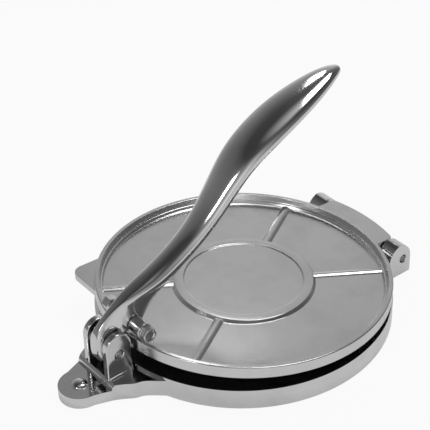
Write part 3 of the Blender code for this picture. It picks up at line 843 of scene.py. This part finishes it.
def section(outer, inner, widths, reached, squareness):
    """Points round one section of the lever between its outer and inner edge."""
    top, middle, low = widths
    points = []
    for index in range(SECTION_POINTS):
        turn = math.tau * index / SECTION_POINTS
        sine, cosine = math.sin(turn), math.cos(turn)
        depth = 0.5 - 0.5 * math.copysign(abs(cosine) ** squareness, cosine)
        if depth < reached:
            width = top + (middle - top) * depth / reached
        else:
            width = middle + (low - middle) * ((depth - reached) / (1 - reached)) ** 2
        across = math.copysign(abs(sine) ** squareness, sine) * width
        along = Vector(outer).lerp(Vector(inner), depth)
        points.append(PIVOT + Vector((across, along.x, along.y)))
    return points


def lever_sections():
    rings = [section(*station) for station in NECK_SECTIONS]
    centres = [Vector(centre) for centre, _, _ in STEM_SECTIONS]
    for index, (_, half_width, half_thickness) in enumerate(STEM_SECTIONS):
        along = centres[min(index + 1, len(centres) - 1)] - centres[max(index - 1, 0)]
        out = Vector((-along.y, along.x)).normalized() * half_thickness
        squareness = STEM_SQUARENESS if index else STEM_START_SQUARENESS
        rings.append(section(centres[index] + out, centres[index] - out, (half_width,) * 3, 0.5, squareness))
    return rings


def rolled(name, rings):
    """A grid rolled into a tube through rings of points, with its ends closed."""
    deselect()
    around, along = len(rings[0]), len(rings)
    bpy.ops.mesh.primitive_grid_add(x_subdivisions=around, y_subdivisions=along - 1, size=1)
    item = bpy.context.object
    item.name = name
    for index, vertex in enumerate(item.data.vertices):
        row, column = divmod(index, around + 1)
        vertex.co = rings[row][column % around]
    welded(item)
    edited(
        item,
        lambda: bpy.ops.mesh.select_all(action="DESELECT"),
        bpy.ops.mesh.select_non_manifold,
        lambda: bpy.ops.mesh.fill_holes(sides=0),
    )
    return welded(item)


class PRESS_OT_lever(bpy.types.Operator):
    """Builds the lever: hub, neck and curved grip in one casting."""

    bl_idname = "press.lever"
    bl_label = "Build Lever"

    def execute(self, context):
        look = context.scene.press_finish
        handle = rolled("handle", lever_sections())
        modified(handle, "SUBSURF", levels=2, render_levels=2)
        drilled(handle, PIVOT_BORE_RADIUS, HUB_BORE_HALF_LENGTH, PIVOT)
        drilled(handle, BOLT_RADIUS + SLIP, HUB_BORE_HALF_LENGTH, centre_of("presser_roller_near"))
        metal = cast_metal(
            "polished_lever", look.aluminium, look.aluminium_dull, look.polish, GRAIN_ACROSS_X
        )
        finish(handle, "lever_casting", "handle", ["lever"], metal)
        return {"FINISHED"}


def laid(item, place):
    """Lays a piece turned about Z along X, with its axis through a place."""
    return moved(item, Matrix.Translation((0, place.y, place.z)) @ Z_TO_X)


def pin(name, low_x, high_x, radius, place):
    """A pin peened at both ends: a button, a groove, a ridge and a wide chamfer."""
    low_end = [(share * radius, low_x + depth) for share, depth in PIN_END]
    high_end = [(share * radius, high_x - depth) for share, depth in reversed(PIN_END)]
    return laid(turned(name, low_end + high_end, PIN_STEPS), place)


def collar(name, low_x, high_x, radius, bore, place):
    """A washer or roller: a drilled cylinder with rounded edges."""
    edge = min(ROLLER_EDGE, (high_x - low_x) / 4)
    profile = arc((radius - edge, low_x + edge), edge, -90, 0, 5)
    profile += arc((radius - edge, high_x - edge), edge, 0, 90, 5)
    ring = turned(name, profile, PIN_STEPS)
    cut(ring, turned("bore", ((bore, low_x - OVERRUN), (bore, high_x + OVERRUN)), PIN_STEPS))
    return laid(ring, place)


def hexagon(name, low_x, high_x, corner, place):
    """A hexagon with its corners turned down and a shallow dish at both ends."""
    prism = turned(name, ((corner, low_x), (corner, high_x)), 6)
    moved(prism, Matrix.Rotation(HEX_TURN, 4, "Z"))
    flat = corner * math.cos(math.pi / 6)
    drop = (corner - flat) * HEX_CORNER_SLOPE
    dish = flat * HEX_DISH_SHARE
    cone = (
        (dish - HEX_DISH_DEPTH, low_x + HEX_DISH_DEPTH),
        (dish, low_x),
        (flat, low_x),
        (corner, low_x + drop),
        (corner, high_x - drop),
        (flat, high_x),
        (dish, high_x),
        (dish - HEX_DISH_DEPTH, high_x - HEX_DISH_DEPTH),
    )
    combined(prism, "INTERSECT", [turned("cone", cone, PIN_STEPS)])
    return laid(rounded(prism, HEX_EDGE, 2, HEX_BEVEL_ANGLE), place)


class PRESS_OT_hardware(bpy.types.Operator):
    """Builds the pins, washers, rollers, bolt and nut over their working parts."""

    bl_idname = "press.hardware"
    bl_label = "Build Hardware"

    def execute(self, context):
        look = context.scene.press_finish
        steel = steel_metal("turned_steel", look.steel, look.steel_gloss)
        bright = steel_metal("bright_steel", look.bright, look.steel_gloss)
        for name, body, place in (("lever_pivot_pin", "base", PIVOT), ("hinge_pin", "base", HINGE)):
            low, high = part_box(name)
            piece = pin("new_pin", low.x, high.x, radius_of(name), place)
            finish(piece, name.replace("_pin", "_rod"), body, [name], steel)
        presser = centre_of("presser_roller_near")
        for name, body, place, bore in (
            ("pivot_washer_near", "base", PIVOT, "lever_pivot_pin"),
            ("pivot_washer_far", "base", PIVOT, "lever_pivot_pin"),
            ("presser_roller_near", "handle", presser, None),
            ("presser_roller_far", "handle", presser, None),
        ):
            low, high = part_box(name)
            hole = BOLT_RADIUS if bore is None else radius_of(bore)
            piece = collar("new_collar", low.x, high.x, radius_of(name), hole + SLIP, place)
            new_name = name.replace("washer", "shim").replace("roller", "sleeve")
            finish(piece, new_name, body, [name], bright)
        low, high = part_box("presser_bolt")
        nut_low, nut_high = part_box("presser_nut")
        corner = (nut_high.z - nut_low.z) / 2
        head = hexagon("new_head", high.x - (nut_high.x - nut_low.x), high.x, corner, presser)
        shank = pin("new_shank", low.x, high.x - HEX_OVERLAP, BOLT_RADIUS, presser)
        finish(joined(head, shank), "hexagon_bolt", "handle", ["presser_bolt"], bright)
        nut = hexagon("new_nut", nut_low.x, nut_high.x, corner, presser)
        drilled(nut, BOLT_RADIUS + SLIP, -nut_low.x, presser)
        finish(nut, "hexagon_nut", "handle", ["presser_nut"], bright)
        return {"FINISHED"}


class PRESS_OT_stage(bpy.types.Operator):
    """Builds the floor, the studio's light and the camera."""

    bl_idname = "press.stage"
    bl_label = "Build Stage"

    def execute(self, context):
        look = context.scene.press_finish
        deselect()
        bpy.ops.mesh.primitive_plane_add(size=FLOOR_SIZE)
        ground = context.object
        ground.name = "floor"
        material = bpy.data.materials.new("pale_floor")
        web = Web(material)
        shader = web.find("Principled BSDF")
        web.put(shader.inputs["Base Color"], (*look.floor, 1))
        web.put(shader.inputs["Roughness"], FLOOR_ROUGHNESS)
        web.put(shader.inputs["Specular IOR Level"], 0)
        path = web.add("ShaderNodeLightPath")
        seen = web.signal(path.outputs["Is Camera Ray"]) * CAMERA_WHITE
        seen = seen + web.signal(path.outputs["Is Glossy Ray"]) * MIRROR_WHITE
        seen = seen + web.signal(path.outputs["Is Transmission Ray"]) * MIRROR_WHITE
        glow = web.add("ShaderNodeEmission", {}, {"Color": (1, 1, 1, 1), "Strength": 1})
        both = web.add("ShaderNodeMixShader", {}, {0: seen, 1: shader.outputs[0], 2: glow.outputs[0]})
        web.put(web.find("Material Output").inputs["Surface"], both.outputs[0])
        ground.data.materials.append(material)
        studio(context)
        photographer(context)
        return {"FINISHED"}


def studio(context):
    """A pale world that darkens upwards, so that polished metal reads as metal, and the lamps."""
    world = bpy.data.worlds.new("studio")
    context.scene.world = world
    web = Web(world)
    direction = web.add("ShaderNodeTexCoord").outputs["Generated"]
    parts = web.add("ShaderNodeSeparateXYZ", {}, {0: direction})
    up = web.signal(parts.outputs[2])
    along_x, along_y = SIDE_DIRECTION
    sideways = web.signal(parts.outputs[0]) * along_x + web.signal(parts.outputs[1]) * along_y
    height = web.add("ShaderNodeValToRGB", {"stops": HEIGHT_STOPS}, {0: up})
    side = web.add("ShaderNodeValToRGB", {"stops": SIDE_STOPS}, {0: sideways * 0.5 + 0.5})
    shade = web.add(
        "ShaderNodeMix",
        {"data_type": "RGBA", "blend_type": "MULTIPLY"},
        {0: 1, 6: height.outputs[0], 7: side.outputs[0]},
    )
    path = web.add("ShaderNodeLightPath")
    plain = web.add(
        "ShaderNodeMix",
        {"data_type": "RGBA"},
        {0: path.outputs["Is Camera Ray"], 6: shade.outputs[2], 7: (1, 1, 1, 1)},
    )
    background = web.find("Background")
    web.put(background.inputs["Color"], plain.outputs[2])
    web.put(background.inputs["Strength"], 1)
    for name, place, size, energy in LAMPS:
        place = Vector(place)
        deselect()
        bpy.ops.object.light_add(type="AREA", location=place)
        lamp = context.object
        lamp.name = name
        lamp.data.size = size
        lamp.data.energy = energy
        lamp.rotation_euler = (LIT_SPOT - place).to_track_quat("-Z", "Y").to_euler()
    context.scene.view_settings.view_transform = "Standard"


def photographer(context):
    """A camera where the photograph was taken from."""
    back = Vector(
        (
            math.sin(CAMERA_AZIMUTH) * math.cos(CAMERA_ELEVATION),
            -math.cos(CAMERA_AZIMUTH) * math.cos(CAMERA_ELEVATION),
            math.sin(CAMERA_ELEVATION),
        )
    )
    ahead = -back
    right = ahead.cross(Vector((0, 0, 1))).normalized()
    up = right.cross(ahead)
    middle = FRAME_PIXELS / 2
    tilt_x = (ORIGIN_PIXEL[0] - middle) / FOCAL_PIXELS
    tilt_y = (ORIGIN_PIXEL[1] - middle) / FOCAL_PIXELS
    ahead = (ahead - tilt_x * right + tilt_y * up).normalized()
    level = ahead.cross(up).normalized()
    upright = level.cross(ahead)
    turn_cos, turn_sin = math.cos(CAMERA_ROLL), math.sin(CAMERA_ROLL)
    right = turn_cos * level + turn_sin * upright
    up = turn_cos * upright - turn_sin * level
    deselect()
    bpy.ops.object.camera_add()
    camera = context.object
    camera.name = "camera"
    camera.data.sensor_width = SENSOR_WIDTH
    camera.data.lens = FOCAL_PIXELS / FRAME_PIXELS * SENSOR_WIDTH
    camera.data.clip_start = CAMERA_DISTANCE / 100
    facing = Matrix((right, up, -ahead)).transposed().to_4x4()
    camera.matrix_world = Matrix.Translation(back * CAMERA_DISTANCE) @ facing
    context.scene.camera = camera


class PRESS_PT_panel(bpy.types.Panel):
    """Lists the press's pieces in the sidebar."""

    bl_label = "Tortilla Press"
    bl_space_type = "VIEW_3D"
    bl_region_type = "UI"
    bl_category = "Press"

    def draw(self, context):
        for operator in OPERATORS:
            self.layout.operator(operator.bl_idname)
        for group in (context.scene.press_plate, context.scene.press_base, context.scene.press_finish):
            for name in group.__annotations__:
                self.layout.prop(group, name)


GROUPS = {"press_plate": PlateSettings, "press_base": BaseSettings, "press_finish": FinishSettings}
OPERATORS = (PRESS_OT_lower_plate, PRESS_OT_upper_plate, PRESS_OT_lever, PRESS_OT_hardware, PRESS_OT_stage)


def register():
    for item in (*GROUPS.values(), *OPERATORS, PRESS_PT_panel):
        bpy.utils.register_class(item)
    for name, group in GROUPS.items():
        setattr(bpy.types.Scene, name, PointerProperty(type=group))


def unregister():
    for name in GROUPS:
        delattr(bpy.types.Scene, name)
    for item in reversed((*GROUPS.values(), *OPERATORS, PRESS_PT_panel)):
        bpy.utils.unregister_class(item)


def main():
    register()
    bpy.ops.press.lower_plate()
    bpy.ops.press.upper_plate()
    bpy.ops.press.lever()
    bpy.ops.press.hardware()
    bpy.ops.press.stage()


if __name__ == "__main__":
    main()
